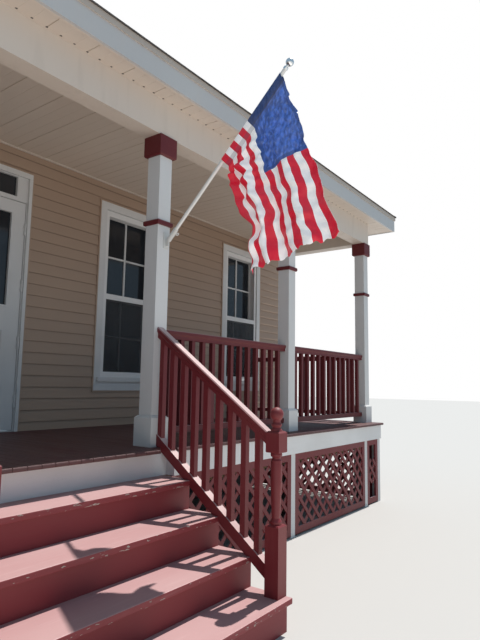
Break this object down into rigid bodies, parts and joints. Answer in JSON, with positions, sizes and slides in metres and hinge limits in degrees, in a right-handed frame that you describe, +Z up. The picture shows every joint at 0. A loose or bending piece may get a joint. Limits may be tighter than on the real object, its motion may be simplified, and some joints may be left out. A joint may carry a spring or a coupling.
{
  "type": "front porch",
  "caption": "Front porch with a wide middle stair, boxed posts, railings, lattice skirt, hipped roof, double doors, windows and a flag on a slanted pole.",
  "frame": {"origin": "on the ground, in the middle of the stair, in the plane of the house wall's outer face", "axes": "+X along the house to the right as seen from the street, +Y into the house, +Z up"},
  "size_m": [10.396, 3.1246, 4.147],
  "materials": {
    "foundation": "rough",
    "siding": "matte",
    "white_paint": "painted",
    "maroon_paint": "painted",
    "deck_paint": "painted",
    "framing": "bare",
    "cream_paint": "painted",
    "ceiling_panels": "matte",
    "flashing": "painted",
    "shingles": "rough",
    "clear_glass": "clear",
    "screen": "matte",
    "knob_brass": "polished",
    "bracket_metal": "cast",
    "pole_paint": "gloss",
    "finial_metal": "polished",
    "flag_cloth": "woven"
  },
  "bodies": {
    "porch": {"foundation": "foundation", "house_wall_left": "siding", "house_wall_right": "siding", "house_wall_over_door": "siding", "door_frame": "white_paint", "door_casing": "white_paint", "window_casings": "white_paint", "window_sashes": "white_paint", "window_glass": "clear_glass", "window_screens": "screen", "deck_floor": "deck_paint", "rim_boards": "white_paint", "deck_framing": "framing", "skirt_strips": "white_paint", "skirt_frames": "maroon_paint", "lattice_front": "maroon_paint", "lattice_ends": "maroon_paint", "stair_stringers": "maroon_paint", "stair_treads": "maroon_paint", "stair_risers": "maroon_paint", "newel_posts": "maroon_paint", "stair_rails": "maroon_paint", "porch_posts": "white_paint", "post_plinths": "white_paint", "post_collars": "maroon_paint", "post_capitals": "maroon_paint", "rails_left": "maroon_paint", "rails_right": "maroon_paint", "porch_beam": "cream_paint", "porch_ceiling": "ceiling_panels", "porch_soffit": "cream_paint", "roof_fascia": "white_paint", "roof_flashing": "flashing", "roof_boards": "framing", "roof_shingles": "shingles", "flag_bracket": "bracket_metal", "flag_pole": "pole_paint", "pole_finial": "finial_metal", "flag": "flag_cloth"},
    "right_door": {"door_leaf_right": "white_paint", "door_glass_right": "clear_glass", "door_handle_right": "knob_brass"},
    "left_door": {"door_leaf_left": "white_paint", "door_glass_left": "clear_glass", "door_handle_left": "knob_brass"}
  },
  "joints": [
    {"name": "right_door_hinge", "type": "hinge", "parent": "porch", "child": "right_door", "pos_m": [0.837, -0.011, 0.915], "axis": [0, 0, 1], "range_deg": [0, 100]},
    {"name": "left_door_hinge", "type": "hinge", "parent": "porch", "child": "left_door", "pos_m": [-0.837, -0.011, 0.915], "axis": [0, 0, 1], "range_deg": [-100, 0]}
  ]
}
